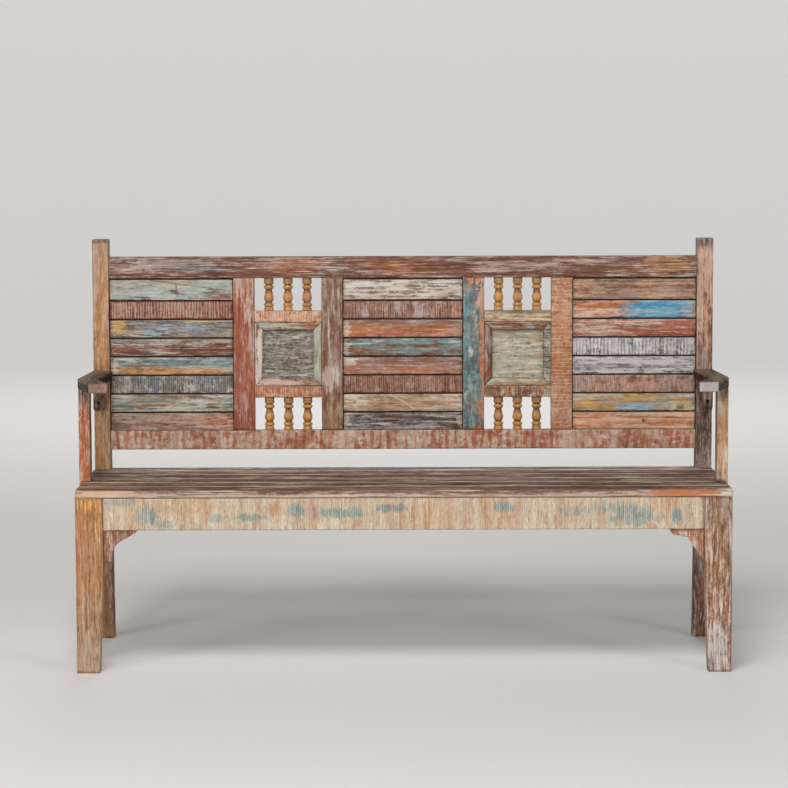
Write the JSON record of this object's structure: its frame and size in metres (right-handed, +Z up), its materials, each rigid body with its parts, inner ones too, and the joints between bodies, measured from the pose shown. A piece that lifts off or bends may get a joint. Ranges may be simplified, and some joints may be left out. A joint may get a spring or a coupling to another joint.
{
  "type": "wooden bench",
  "caption": "Long wooden bench with bent arms, a planked seat and a framed back of slats, turned balusters and small framed panels, in worn paint.",
  "frame": {"origin": "middle of the footprint, on the floor", "axes": "+X to the right of someone who looks at the front, +Y to the back, +Z up"},
  "size_m": [1.625, 0.502, 1.045],
  "materials": {
    "brick_paint": "worn, matte",
    "cream_paint": "worn, matte",
    "dark_iron": "dull",
    "duck_egg_paint": "worn, matte",
    "grey_tan_wood": "worn, matte",
    "honey_varnish": "varnished",
    "lilac_white_paint": "worn, matte",
    "maroon_paint": "worn, matte",
    "mauve_paint": "worn, matte",
    "ochre_wood": "worn, matte",
    "orange_paint": "worn, matte",
    "red_brown_paint": "worn, matte",
    "sage_paint": "worn, matte",
    "seat_brown": "worn, matte",
    "sky_paint": "worn, matte",
    "slate_paint": "worn, matte",
    "taupe_wood": "worn, matte",
    "teal_paint": "worn, matte",
    "white_over_brown": "worn, matte",
    "worn_brown": "worn, matte"
  },
  "bodies": {
    "root": {"arm_cleats": "worn_brown", "arm_left": "taupe_wood", "arm_right": "taupe_wood", "arm_support_left": "orange_paint", "arm_support_right": "ochre_wood", "balusters": "honey_varnish", "bracket_left": "red_brown_paint", "bracket_right": "white_over_brown", "cross_rails": "brick_paint", "front_apron": "cream_paint", "front_leg_left": "ochre_wood", "front_leg_right": "white_over_brown", "lower_rail": "cream_paint", "mouldings": "cream_paint", "panel_left": "slate_paint", "panel_right": "sage_paint", "rear_apron": "worn_brown", "rear_post_left": "ochre_wood", "rear_post_right": "worn_brown", "screws": "dark_iron", "seat_bearers": "worn_brown", "seat_board_1": "seat_brown", "seat_board_2": "seat_brown", "seat_board_3": "seat_brown", "seat_board_4": "seat_brown", "seat_board_5": "seat_brown", "seat_board_6": "seat_brown", "seat_brads": "dark_iron", "side_apron_left": "ochre_wood", "side_apron_right": "worn_brown", "slat_left_1": "duck_egg_paint", "slat_left_2": "maroon_paint", "slat_left_3": "cream_paint", "slat_left_4": "red_brown_paint", "slat_left_5": "teal_paint", "slat_left_6": "grey_tan_wood", "slat_left_7": "duck_egg_paint", "slat_left_8": "ochre_wood", "slat_middle_1": "cream_paint", "slat_middle_2": "maroon_paint", "slat_middle_3": "orange_paint", "slat_middle_4": "teal_paint", "slat_middle_5": "worn_brown", "slat_middle_6": "mauve_paint", "slat_middle_7": "cream_paint", "slat_middle_8": "slate_paint", "slat_right_1": "mauve_paint", "slat_right_2": "sky_paint", "slat_right_3": "brick_paint", "slat_right_4": "lilac_white_paint", "slat_right_5": "lilac_white_paint", "slat_right_6": "mauve_paint", "slat_right_7": "ochre_wood", "slat_right_8": "orange_paint", "stile_1": "brick_paint", "stile_2": "mauve_paint", "stile_3": "slate_paint", "stile_4": "brick_paint", "tenon_pegs": "worn_brown", "top_rail": "worn_brown"}
  },
  "joints": []
}
